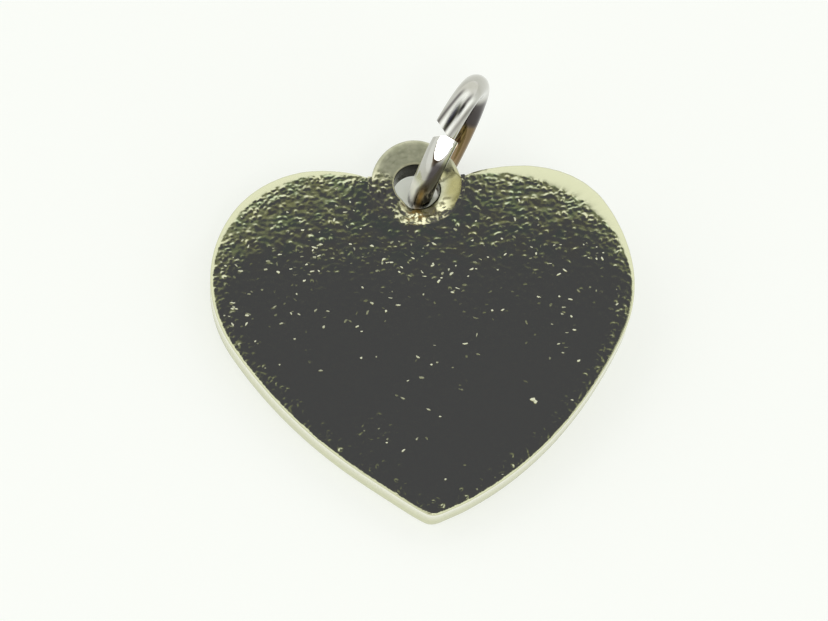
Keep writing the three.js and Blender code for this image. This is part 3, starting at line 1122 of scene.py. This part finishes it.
@dataclass
class HangingEye:
    """Flat round eye whose hole sits a little low and is worn on the tip side."""

    place: RestingPlace
    finish: MetalFinish
    rise: float = EYE_RISE
    radius: float = 1.73
    hole_radius: float = 0.87
    hole_drop: float = HOLE_DROP
    half_thickness: float = HALF_THICKNESS
    outer_round: float = 0.22
    flush_drop: float = 0.06
    stretch: float = 0.2
    hole_round: float = 0.07
    hole_wear: float = 0.12
    worn_deg: Band = (-140.0, -105.0, 8.0, 32.0)
    worn_steepness: float = 0.8
    dish: float = 0.26
    dish_power: float = 1.15
    groove: float = 0.008
    groove_at: float = 0.8
    groove_width: float = 0.06
    groove_top: Span = (0.1, 0.4)
    fall: float = 0.09
    fall_start: float = -0.35
    fall_easing: float = 0.3
    grain_gain: float = 1.5
    front_heights: Span = (0.3, 0.45)
    hole_clear: Span = (0.02, 0.2)
    lump_share: float = 0.09
    lump_clear: float = 0.08
    flakes: Flakes = field(default_factory=Flakes)
    sides: int = 200
    hole_steps: int = 8
    front_rings: int = 18
    edge_steps: int = 7
    under_steps: int = 4
    scratches: tuple[Span, ...] = ((0.78, 0.04), (0.48, 0.03))
    scratch_patina: float = 0.3
    # Painted shade on the hole's wall and a painted highlight along the upper bevel of the hole.
    wall_dark: Span = (0.04, 0.015)
    bevel: Band = (0.02, 0.045, 0.08, 0.12)
    bevel_highlight: float = 0.6
    grain_pale: float = 0.42
    right_amber: float = 0.85
    right_satin: float = 0.5
    bead_satin: float = 0.3
    evenness: float = 0.35

    def angles(self) -> np.ndarray:
        """Angles of the points of a row, from the right, counter-clockwise."""
        return TAU * np.arange(self.sides) / self.sides

    @staticmethod
    def wander(a: np.ndarray) -> np.ndarray:
        """How far a line round the eye strays to and fro, as a share of the eye's width."""
        return 0.03 * np.sin(9.0 * a) + 0.02 * np.sin(23.0 * a + 1.0)

    def row(self, share: float | np.ndarray, grow: float | np.ndarray) -> np.ndarray:
        """Level row round the eye between its hole and its outer edge.

        Args:
            share: 0 at the hole's edge and 1 at the outer edge.
            grow: Extra radius.

        Returns:
            The row of points.
        """
        a = self.angles()
        radius = self.hole_radius + (self.radius - self.hole_radius) * share + grow
        middle = self.rise - self.hole_drop * (1.0 - share)
        taller = self.stretch * share * np.clip(np.sin(a), 0.0, None) ** 2
        return np.stack([radius * np.cos(a), middle + radius * np.sin(a) + taller, 0.0 * a], axis=1)

    def worn(self) -> np.ndarray:
        """How worn each side of the hole is: fully from its bottom round to its right."""
        a = np.degrees(self.angles())
        return band(self.worn_deg, np.where(a > 180.0, a - 360.0, a))

    def top(self, row: np.ndarray, share: float | np.ndarray) -> np.ndarray:
        """Height of the eye's front, which falls away from the heart and dips into the worn hole.

        Args:
            row: Row of points.
            share: 0 at the hole's edge and 1 at the outer edge.

        Returns:
            The height at each point.
        """
        past = row[:, 1] - self.rise - self.fall_start
        fall = self.fall * np.where(past > 0, past**2 / (past + self.fall_easing), 0.0)
        dip = self.dish * self.worn() * np.clip(1.0 - share, 0.0, 1.0) ** self.dish_power
        a = self.angles()
        line = hump(self.groove_at + self.wander(a), self.groove_width, share)
        line = line * smooth(*self.groove_top, np.sin(a))
        return self.half_thickness - fall - dip - self.groove * line

    def rows(self) -> list[np.ndarray]:
        """Rows up the hole, over the front, down the outside and back under the eye.

        Returns:
            The rows in order.
        """
        span = self.radius - self.hole_radius
        wear = self.hole_round + self.hole_wear * self.worn()
        edge = self.outer_round * smooth(0.0, 0.3, np.sin(self.angles()))
        bottom = -self.half_thickness
        flats = [self.row(0.0, 0.0)]
        heights = [bottom + self.hole_round]
        for t in quarter_turn(self.hole_steps):
            grow = wear * (1.0 - math.cos(t))
            flats.append(self.row(0.0, grow))
            lower = wear * self.worn_steepness * (1.0 - math.sin(t))
            heights.append(self.top(flats[-1], grow / span) - lower)
        for i in range(1, self.front_rings + 1):
            share = (wear + (span - edge - wear) * i / self.front_rings) / span
            flats.append(self.row(share, 0.0))
            heights.append(self.top(flats[-1], share))
        level = heights[-1]
        for t in quarter_turn(self.edge_steps)[1:]:
            flats.append(self.row(1.0, -edge * (1.0 - math.sin(t))))
            heights.append(level - np.maximum(edge, self.flush_drop) * (1.0 - math.cos(t)))
        for t in quarter_turn(self.under_steps):
            flats.append(self.row(1.0, -self.outer_round * (1.0 - math.cos(t))))
            heights.append(bottom + self.outer_round * (1.0 - math.sin(t)))
        flats.append(self.row(0.0, self.hole_round))
        heights.append(bottom)
        for flat, height in zip(flats, heights):
            flat[:, 2] = height
        return flats

    def build(self) -> bpy.types.Object:
        """Models the eye by extruding a row up the hole, over the front and down the outside.

        Returns:
            The finished eye.
        """
        eye = Bench.loft("charm_eye", self.rows())
        Bench.open_edges(eye)
        bpy.ops.mesh.bridge_edge_loops()
        Bench.clear()
        spots = Bench.spots(eye)
        across, along = spots[:, 0], spots[:, 1] - self.rise
        front = smooth(*self.front_heights, spots[:, 2])
        past_hole = np.hypot(across, along + self.hole_drop) - self.hole_radius
        clear = front * smooth(*self.hole_clear, past_hole)
        lower_left = smooth(-0.1, 0.5, -along - 0.55 * across - 0.1) * smooth(-0.3, 0.2, -across)
        lower_right = smooth(-0.5, 0.1, across) * smooth(-0.5, 0.6, 0.5 - along)
        upper_left = smooth(-0.25, 0.25, along - 0.45 * across) * smooth(0.0, 0.3, front)
        below = bead(across, along)
        grained = self.grain_gain * clear * lower_left
        Grain.add(eye, "grain", np.minimum(1.0, FACE_GRAIN * grained), PLATE_GRAIN)
        inner = smooth(self.radius, self.radius - self.lump_clear, np.hypot(across, along))
        lumpy = np.maximum(self.lump_share * lower_right * inner, below)
        Grain.add(eye, "lumps", clear * lumpy, SOLDER_LUMPS)
        Bench.apply_modifiers(eye)
        Bench.lift(eye, grained * self.flakes.lift(spots[:, :2]))
        Bench.settle(eye, self.place.matrix())
        a = np.arctan2(along, across)
        share = past_hole / (self.radius - self.hole_radius)
        scratch = sum(hump(at + self.wander(a), width, share) for at, width in self.scratches)
        scratch *= upper_left * (0.5 + 0.5 * np.sin(5.0 * a + 4.0 * np.sin(3.0 * a)))
        right = lower_right * (1.0 - below)
        # Painted highlight: a pale band on the upper left of the hole's bevel.
        bevel = band(self.bevel, past_hole) * upper_left
        # The hole's wall is painted dark, a painted shade; the scratch lines are the eye's own marks. The
        # bead below the hole is painted pale: paler solder with a painted sheen on it.
        paint(
            eye,
            satin=most(upper_left * (1.0 - lower_left), self.right_satin * right, self.bead_satin * below),
            patina=most(smooth(*self.wall_dark, past_hole), self.scratch_patina * scratch),
            even=np.full(len(spots), self.evenness),
            amber=self.right_amber * front * right,
            pale=most(front * below, self.bevel_highlight * bevel, self.grain_pale * front * lower_left),
        )
        return eye

    def dress(self, eye: bpy.types.Object) -> None:
        """Gives the eye its metal and its place in the model.

        Args:
            eye: The finished eye.
        """
        eye.data.materials.append(self.finish.material())
        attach(eye, Body.CHARM.value)
        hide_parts(Node.EYE.value)


@dataclass
class SolderSeam:
    """Uneven bead of solder round the lower half of the eye."""

    place: RestingPlace
    finish: MetalFinish
    eye_rise: float = EYE_RISE
    inner_radius: float = 1.71
    outer_radius: float = 1.87
    top: float = 0.5495
    bulge: float = 0.0015
    front_depths: Span = (0.02, 0.005)
    flakes: Flakes = field(default_factory=Flakes)
    web: float = 0.03
    depth: float = 0.12
    steps: int = 164
    past_end: float = 0.14
    across: int = 8
    smooth_deg: float = 60.0
    bead_satin: float = 0.3

    def rows(self) -> list[np.ndarray]:
        """Sections of the bead, from the left end of the seam round to the right.

        Returns:
            The rows in order.
        """
        share = np.linspace(0.0, 1.0, self.across)
        front = self.inner_radius + (self.outer_radius - self.inner_radius) * share
        middle = (self.inner_radius + self.outer_radius) / 2
        radius = np.concatenate([front, [middle + self.web, middle - self.web]])
        crown = self.top + self.bulge * np.sin(math.pi * share)
        height = np.concatenate([crown, [self.top - self.depth] * 2])
        made = []
        for i in range(self.steps + 1):
            a = math.pi - self.past_end + (math.pi + 2.0 * self.past_end) * (i / self.steps)
            flat = [radius * math.cos(a), self.eye_rise + radius * math.sin(a)]
            made.append(np.stack([*flat, height], axis=1))
        return made

    def build(self) -> bpy.types.Object:
        """Models the bead by extruding its section along the seam.

        Returns:
            The finished bead.
        """
        seam = Bench.loft("charm_solder", self.rows())
        Bench.close_ends(seam)
        spots = Bench.spots(seam)
        front = smooth(*(self.top - depth for depth in self.front_depths), spots[:, 2])
        below = bead(spots[:, 0], spots[:, 1] - self.eye_rise)
        Grain.add(seam, "grain", FACE_GRAIN * front * (1.0 - below), PLATE_GRAIN)
        Grain.add(seam, "lumps", front * below, SOLDER_LUMPS)
        Bench.apply_modifiers(seam)
        Bench.lift(seam, front * (1.0 - below) * self.flakes.lift(spots[:, :2]))
        Bench.settle(seam, self.place.matrix(), self.smooth_deg)
        # The bead is painted pale: paler solder with a painted sheen on it.
        paint(seam, pale=front * below, satin=self.bead_satin * below)
        return seam

    def dress(self, seam: bpy.types.Object) -> None:
        """Gives the bead its metal and its place in the model.

        Args:
            seam: The finished bead.
        """
        seam.data.materials.append(self.finish.material())
        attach(seam, Body.CHARM.value)
        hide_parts(Node.SEAM.value)


@dataclass
class JumpRing:
    """Sprung ring of round wire with a pinched V cut, through the eye."""

    place: RestingPlace
    finish: MetalFinish
    hole_rise: float = EYE_RISE - HOLE_DROP
    outer_diameter: float = 5.8
    wire_diameter: float = 0.95
    reach: float = 2.19987
    lift: float = 0.45
    shift: float = 0.24024
    azimuth_deg: float = 31.0
    spring: float = 0.18
    cut_deg: float = 112.0
    cut_hairline: float = 0.05
    cut_depth: float = 0.56
    cut_half_deg: float = 28.0
    lean_deg: float = 3.0
    view_deg: float = 7.0
    steps: int = 280
    sides: int = 88
    smooth_deg: float = 35.0
    cap_rings: tuple[float, ...] = (0.94, 0.8, 0.6, 0.4, 0.2, 0.05)
    facet: float = 0.003
    flat_deg: float = 117.5
    flat_aside_deg: float = 14.0
    flat_depth: float = 0.11
    facing_side: Span = (-0.5, 0.3)
    facing_inner: float = 0.4
    # Painted dark reflection and painted brown reflection on the far strand, where it mirrors the shaded
    # gap under the plate and the gold eye.
    black_deg: Band = (-46.0, -32.0, -4.0, 12.0)
    brown_deg: Band = (-125.0, -70.0, -40.0, -28.0)
    # Painted reflection streaks along the wire by the cut: dark lines and pale glints.
    by_cut_deg: Span = (66.0, 78.0)
    streak_slant: float = 0.012
    dark_reflection_streaks: tuple[tuple[float, float, float], ...] = (
        (-0.66, 0.13, 0.85), (0.15, 0.12, 0.85), (0.75, 0.12, 0.5),
    )
    glints: tuple[tuple[float, float, float], ...] = ((-0.25, 0.2, 1.0), (0.43, 0.14, 1.0))
    # Painted shade and a painted amber reflection on the strand in the eye's hole, and a painted highlight
    # on its left side.
    hole_deg: Band = (128.0, 137.0, 215.0, 236.0)
    strand_edge: Span = (-0.02, -0.35)
    strand_edge_deg: Span = (150.0, 165.0)
    strand_blur: float = 0.15
    strand_fade: float = 0.6
    strand_fade_deg: Span = (172.0, 190.0)
    amber_deg: Span = (152.0, 166.0)
    amber_at: Span = (0.1, 0.3)
    amber_clears: float = 0.6
    left_deg: Band = (150.0, 162.0, 215.0, 232.0)
    left_side: Span = (-0.12, -0.38)
    dark: float = 0.92
    brown_patina: float = 0.55
    brown_amber: float = 0.9
    glint_pale: float = 0.95
    left_satin: float = 2.5
    amber_satin: float = 1.2

    def axes(self) -> tuple[np.ndarray, np.ndarray, np.ndarray, np.ndarray]:
        """How the ring stands in the drawing.

        Returns:
            Its centre, the way it reaches out, its axis and its upward side.
        """
        az, lean = math.radians(self.azimuth_deg), math.radians(self.lean_deg)
        away = np.array([math.sin(az), math.cos(az), 0.0])
        level = np.array([math.cos(az), -math.sin(az), 0.0])
        upright = np.array([0.0, 0.0, 1.0])
        centre = self.hole_rise * np.array([0.0, 1.0, 0.0]) + self.lift * upright
        centre = centre + away * self.reach + level * self.shift
        axis = math.cos(lean) * level - math.sin(lean) * upright
        above = math.cos(lean) * upright + math.sin(lean) * level
        return centre, away, axis, above

    def opening(self, aside: np.ndarray) -> np.ndarray:
        """Half the width of the cut at places across the wire.

        Args:
            aside: The places, along the ring's axis from its middle.

        Returns:
            The half width at each.
        """
        apex = self.cut_depth - self.wire_diameter / 2
        wider = np.clip(apex - aside, 0.0, None) * math.tan(math.radians(self.cut_half_deg))
        return self.cut_hairline / 2 + wider

    def section(self, turn: float, size: float) -> np.ndarray:
        """Row of points round the wire at a share of the way from one end to the other.

        Args:
            turn: 0 at one end of the wire and 1 at the other.
            size: Share of the wire's radius.

        Returns:
            The row in drawing millimetres.
        """
        wire = self.wire_diameter / 2
        bend = self.outer_diameter / 2 - wire
        q = TAU * np.arange(self.sides) / self.sides
        drawn = 1.0 - self.facet * (1.5 - np.cos(9.0 * q + 1.0) - 0.5 * np.cos(5.0 * q + 0.4))
        reach = wire * size * drawn
        out = bend + reach * np.cos(q)
        aside = self.spring * (turn - 0.5) + reach * np.sin(q)
        first_side = -self.spring / 2 + reach * np.sin(q)
        last_side = self.spring / 2 + reach * np.sin(q)
        first = math.radians(self.cut_deg) - np.arcsin(self.opening(first_side) / out)
        last = math.radians(self.cut_deg) - TAU + np.arcsin(self.opening(last_side) / out)
        a = first + (last - first) * turn
        centre, away, axis, above = self.axes()
        flat = (out * np.cos(a))[:, None] * away + (out * np.sin(a))[:, None] * above
        return centre + flat + aside[:, None] * axis

    def build(self) -> bpy.types.Object:
        """Models the ring by extruding the wire's section round from end to end.

        Returns:
            The finished ring.
        """
        rows = [self.section(0.0, size) for size in reversed(self.cap_rings)]
        rows += [self.section(i / self.steps, 1.0) for i in range(self.steps + 1)]
        rows += [self.section(1.0, size) for size in self.cap_rings]
        ring = Bench.loft("charm_ring", rows)
        Bench.close_ends(ring)
        self.flatten(ring)
        self.paint_stains_and_light(ring)
        Bench.settle(ring, self.place.matrix(), self.smooth_deg)
        return ring

    def flatten(self, ring: bpy.types.Object) -> None:
        """Presses a small flat into the wire below the cut, where the cutters held it.

        Args:
            ring: The round ring, in drawing millimetres.
        """
        centre, away, axis, above = self.axes()
        spots = Bench.spots(ring)
        turn, aside = math.radians(self.flat_deg), math.radians(self.flat_aside_deg)
        outwards = math.cos(turn) * away + math.sin(turn) * above
        facing = math.cos(aside) * outwards + math.sin(aside) * axis
        around = np.degrees(np.arctan2((spots - centre) @ above, (spots - centre) @ away))
        bend = (self.outer_diameter - self.wire_diameter) / 2
        middle = centre + bend * outwards + self.spring / 2 * axis
        over = (spots - middle) @ facing - (self.wire_diameter / 2 - self.flat_depth)
        over = np.where(around > self.cut_deg, np.clip(over, 0.0, None), 0.0)
        Bench.move(ring, spots - over[:, None] * facing)

    def paint_stains_and_light(self, ring: bpy.types.Object) -> None:
        """Paints the wire: painted reflection streaks by the cut, a painted amber reflection, painted
        shade and a painted highlight in the hole, painted dark reflections on the far strand.

        Args:
            ring: The ring, in drawing millimetres.
        """
        centre, away, axis, above = self.axes()
        spots = Bench.spots(ring) - centre
        out, high, aside = spots @ away, spots @ above, spots @ axis
        wire = self.wire_diameter / 2
        outside = np.hypot(out, high) - (self.outer_diameter - self.wire_diameter) / 2
        around = np.degrees(np.arctan2(high, out))
        turned = np.where(around < 0, around + 360.0, around)
        turn = ((self.cut_deg - around) % 360.0) / 360.0
        q = np.arctan2(aside - self.spring * (turn - 0.5), outside) - math.radians(self.view_deg)
        near, seen = smooth(-0.2, 0.2, np.cos(q)), np.sin(q)
        facing = smooth(*self.facing_side, aside / wire - self.facing_inner * outside / wire)
        # Painted reflections on the far strand: black, then brown.
        black, brown = facing * band(self.black_deg, around), facing * band(self.brown_deg, around)
        streak = seen - self.streak_slant * (90.0 - around)
        by_cut = near * smooth(*self.by_cut_deg, around) * (around < self.cut_deg)
        # Painted dark reflection streaks and painted glints by the cut.
        dark_reflection_streaks, glints = (
            by_cut * most(*(gain * hump(middle, width, streak) for middle, width, gain in lines))
            for lines in (self.dark_reflection_streaks, self.glints)
        )
        # Painted shade on the strand in the hole, a painted amber reflection on it and a painted highlight
        # on its left.
        in_hole = near * band(self.hole_deg, turned)
        edge = self.strand_edge[0] + self.strand_edge[1] * smooth(*self.strand_edge_deg, turned)
        strand = in_hole * smooth(edge - self.strand_blur, edge + self.strand_blur, seen)
        strand *= 1.0 - self.strand_fade * smooth(*self.strand_fade_deg, turned)
        amber = in_hole * smooth(*self.amber_deg, turned) * hump(*self.amber_at, seen)
        left = near * band(self.left_deg, turned) * smooth(*self.left_side, seen)
        strand = strand * (1.0 - self.amber_clears * amber)
        paint(
            ring,
            patina=most(self.dark * black, self.brown_patina * brown, self.dark * strand, dark_reflection_streaks),
            amber=most(self.brown_amber * brown, amber),
            pale=most(self.glint_pale * glints, left),
            satin=most(glints, self.left_satin * left, self.amber_satin * amber),
        )

    def dress(self, ring: bpy.types.Object) -> None:
        """Gives the ring its metal and its place in the model.

        Args:
            ring: The finished ring.
        """
        ring.data.materials.append(self.finish.material())
        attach(ring, Body.RING.value)
        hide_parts(Node.RING.value)


@dataclass(frozen=True)
class Lamp:
    """Soft square lamp that looks at the charm."""

    name: str
    where: Place
    size: float
    watts: float

    def add(self) -> None:
        """Hangs the lamp."""
        Bench.clear()
        bpy.ops.object.light_add(type="AREA", location=self.where)
        lamp = bpy.context.object
        lamp.name = self.name
        lamp.data.shape = "SQUARE"
        lamp.data.size = self.size
        lamp.data.energy = self.watts
        lamp.rotation_mode = "QUATERNION"
        lamp.rotation_quaternion = (-Vector(self.where)).to_track_quat("-Z", "Y")


@dataclass(frozen=True)
class DarkPatch:
    """Round dark part of the room, with the angles from its middle where it changes."""

    axis: Place
    dark: Tone
    grey: Tone
    dark_deg: float
    grey_deg: float
    bright_deg: float

    def add(self, wiring: Wiring, where: bpy.types.NodeSocket) -> bpy.types.NodeSocket:
        """Adds the nodes of the patch.

        Args:
            wiring: Node tree of the room.
            where: Direction that is looked in.

        Returns:
            How much of the room's light is left in each direction.
        """
        axis = Vector(self.axis).normalized()
        towards = wiring.add("VectorMath", {0: where, 1: axis}, operation="DOT_PRODUCT")
        angle = wiring.add("Math", {0: towards.outputs["Value"]}, operation="ARCCOSINE")
        share = wiring.add("Math", {0: angle.outputs[0], 1: math.pi}, operation="DIVIDE")
        stops = [
            (self.dark_deg / 180.0, self.dark), (self.grey_deg / 180.0, self.grey),
            (self.bright_deg / 180.0, (1.0, 1.0, 1.0)),
        ]
        return wiring.ramp(share.outputs[0], stops, "EASE")


@dataclass
class Studio:
    """White table, bright room with dark patches, a soft lamp and the camera."""

    floor_size: float = 3.0
    floor_tone: Tone = (0.965, 0.98, 0.95)
    glow_share: float = 0.58
    # Painted shade: the glow is left out round the floor under the eye's hole, so that spot stays darker.
    shade_spot_radii: Span = (0.0012, 0.0021)
    shade_spot_middle: Place = (0.0003, 0.0057, 0.0)
    glow_tone: Tone = (1.06, 1.08, 1.04)
    room_tone: Tone = (1.17, 1.19, 1.15)
    patches: tuple[DarkPatch, ...] = (
        DarkPatch((0.02, 0.13, 0.99), (0.072, 0.071, 0.105), (0.19, 0.2, 0.15), 15.0, 22.0, 34.0),
        DarkPatch((-0.24, -0.78, 0.58), (0.15, 0.11, 0.08), (0.35, 0.3, 0.25), 16.0, 22.0, 30.0),
        DarkPatch((0.72, 0.0, 0.69), (0.1, 0.1, 0.1), (0.4, 0.4, 0.4), 10.0, 13.0, 17.0),
    )
    camera_place: Place = (-0.018748499, -0.062624103, 0.10249897)
    camera_right: Place = (0.98822461, -0.07568798, 0.13297914)
    camera_up: Place = (-0.00520718, 0.85194752, 0.52360128)
    camera_back: Place = (-0.15292157, -0.51812812, 0.84152139)
    sensor: float = 36.0
    lens: float = 138.93
    clip: Span = (0.001, 10.0)
    lamp: Lamp = Lamp("window", (0.002, -0.297, 0.333), 0.09, 0.14)

    def build(self) -> None:
        """Sets up the table, the room, the lamp and the camera."""
        self.floor()
        self.room()
        self.lamp.add()
        self.camera()
        bpy.context.scene.view_settings.view_transform = "Standard"

    def floor(self) -> None:
        """Lays the white table, which glows a little for the camera and for reflections, all but a painted
        shade round the spot under the eye's hole.
        """
        Bench.clear()
        bpy.ops.mesh.primitive_plane_add(size=self.floor_size)
        table = bpy.context.object
        table.name = "table"
        made = bpy.data.materials.new("white_table")
        made.use_nodes = True
        wiring = Wiring(made.node_tree)
        matt = wiring.add("BsdfDiffuse", {"Color": (*self.floor_tone, 1.0)})
        glow = wiring.add("Emission", {"Color": (*self.glow_tone, 1.0)})
        path = wiring.add("LightPath").outputs
        seen = path["Is Camera Ray"]
        for ray in ("Is Glossy Ray", "Is Transmission Ray"):
            seen = wiring.add("Math", {0: seen, 1: path[ray]}, operation="MAXIMUM").outputs[0]
        where = wiring.add("TexCoord").outputs["Object"]
        # Painted shade: the glow fades out round the spot under the eye's hole.
        apart = wiring.add("VectorMath", {0: where, 1: self.shade_spot_middle}, operation="DISTANCE")
        clear = wiring.add("MapRange", {
            "Value": apart.outputs["Value"], "From Min": self.shade_spot_radii[0],
            "From Max": self.shade_spot_radii[1], "To Max": self.glow_share,
        }, interpolation_type="SMOOTHSTEP")
        share = wiring.add("Math", {0: seen, 1: clear.outputs["Result"]}, operation="MULTIPLY")
        mix = wiring.add("MixShader", {
            0: share.outputs[0], 1: matt.outputs["BSDF"], 2: glow.outputs["Emission"],
        })
        wiring.add("OutputMaterial", {"Surface": mix.outputs["Shader"]})
        table.data.materials.append(made)

    def room(self) -> None:
        """Makes the room: bright all round, with its dark patches."""
        world = bpy.data.worlds.new("room")
        bpy.context.scene.world = world
        world.use_nodes = True
        wiring = Wiring(world.node_tree)
        where = wiring.add("TexCoord").outputs["Generated"]
        seen = (*self.room_tone, 1.0)
        for patch in self.patches:
            layers = {0: 1.0, 6: seen, 7: patch.add(wiring, where)}
            seen = wiring.add("Mix", layers, data_type="RGBA", blend_type="MULTIPLY").outputs[2]
        light = wiring.add("Background", {"Color": seen})
        wiring.add("OutputWorld", {"Surface": light.outputs["Background"]})

    def camera(self) -> None:
        """Places the camera at the photograph's view."""
        data = bpy.data.cameras.new("camera")
        data.sensor_width = self.sensor
        data.lens = self.lens
        data.clip_start, data.clip_end = self.clip
        camera = bpy.data.objects.new("camera", data)
        bpy.context.scene.collection.objects.link(camera)
        turned = Matrix((self.camera_right, self.camera_up, self.camera_back)).transposed().to_4x4()
        turned.translation = Vector(self.camera_place)
        camera.matrix_world = turned
        bpy.context.scene.camera = camera


PLATE_FINISH = MetalFinish(
    name="grained_plate", tone=(0.57, 0.64, 0.42), worn_tone=(0.66, 0.645, 0.41),
    third_tone=(0.645, 0.65, 0.45), pale_tone=(0.95, 0.94, 0.86), roughness=(0.07, 0.14),
    tone_scale=1500.0, mark_scale=11000.0, mark_depth=2.2e-6,
)
# The eye's dark tone is the painted shade in its hole and the colour of its scratches.
EYE_FINISH = MetalFinish(
    name="smooth_eye", tone=(0.39, 0.39, 0.27), worn_tone=(0.58, 0.57, 0.42),
    third_tone=(0.47, 0.47, 0.34), pale_tone=(0.94, 0.91, 0.62), roughness=(0.08, 0.16), satin=0.26,
    patina_tone=(0.035, 0.035, 0.03), amber_tone=(0.43, 0.395, 0.17),
    tone_scale=4200.0, mark_scale=7000.0, mark_depth=1.0e-6,
)
SOLDER_FINISH = MetalFinish(
    name="bright_solder", tone=(0.69, 0.66, 0.46), worn_tone=(0.65, 0.63, 0.44),
    third_tone=(0.66, 0.65, 0.46), pale_tone=(0.94, 0.91, 0.62), roughness=(0.07, 0.14),
    tone_scale=3000.0, mark_scale=9000.0, mark_depth=1.0e-6,
)
# The wire's dark and amber tones are painted shade and painted reflections.
WIRE_FINISH = MetalFinish(
    name="polished_wire", tone=(0.54, 0.535, 0.5), worn_tone=(0.48, 0.47, 0.42),
    third_tone=(0.52, 0.51, 0.47), pale_tone=(0.92, 0.92, 0.88), roughness=(0.05, 0.11),
    patina_tone=(0.05, 0.04, 0.045), amber_tone=(0.44, 0.29, 0.11),
    tone_scale=1200.0, mark_scale=5000.0, mark_depth=1.0e-6,
)


def main() -> None:
    """Builds every piece in order, then the studio."""
    logging.basicConfig(level=logging.INFO)
    place = RestingPlace()
    makers = (
        HeartPlate(place, PLATE_FINISH),
        HangingEye(place, EYE_FINISH),
        SolderSeam(place, SOLDER_FINISH),
        JumpRing(place, WIRE_FINISH),
    )
    for maker in makers:
        piece = maker.build()
        maker.dress(piece)
        LOG.info("%s: %d faces", piece.name, len(piece.data.polygons))
    Studio().build()


if __name__ == "__main__":
    main()
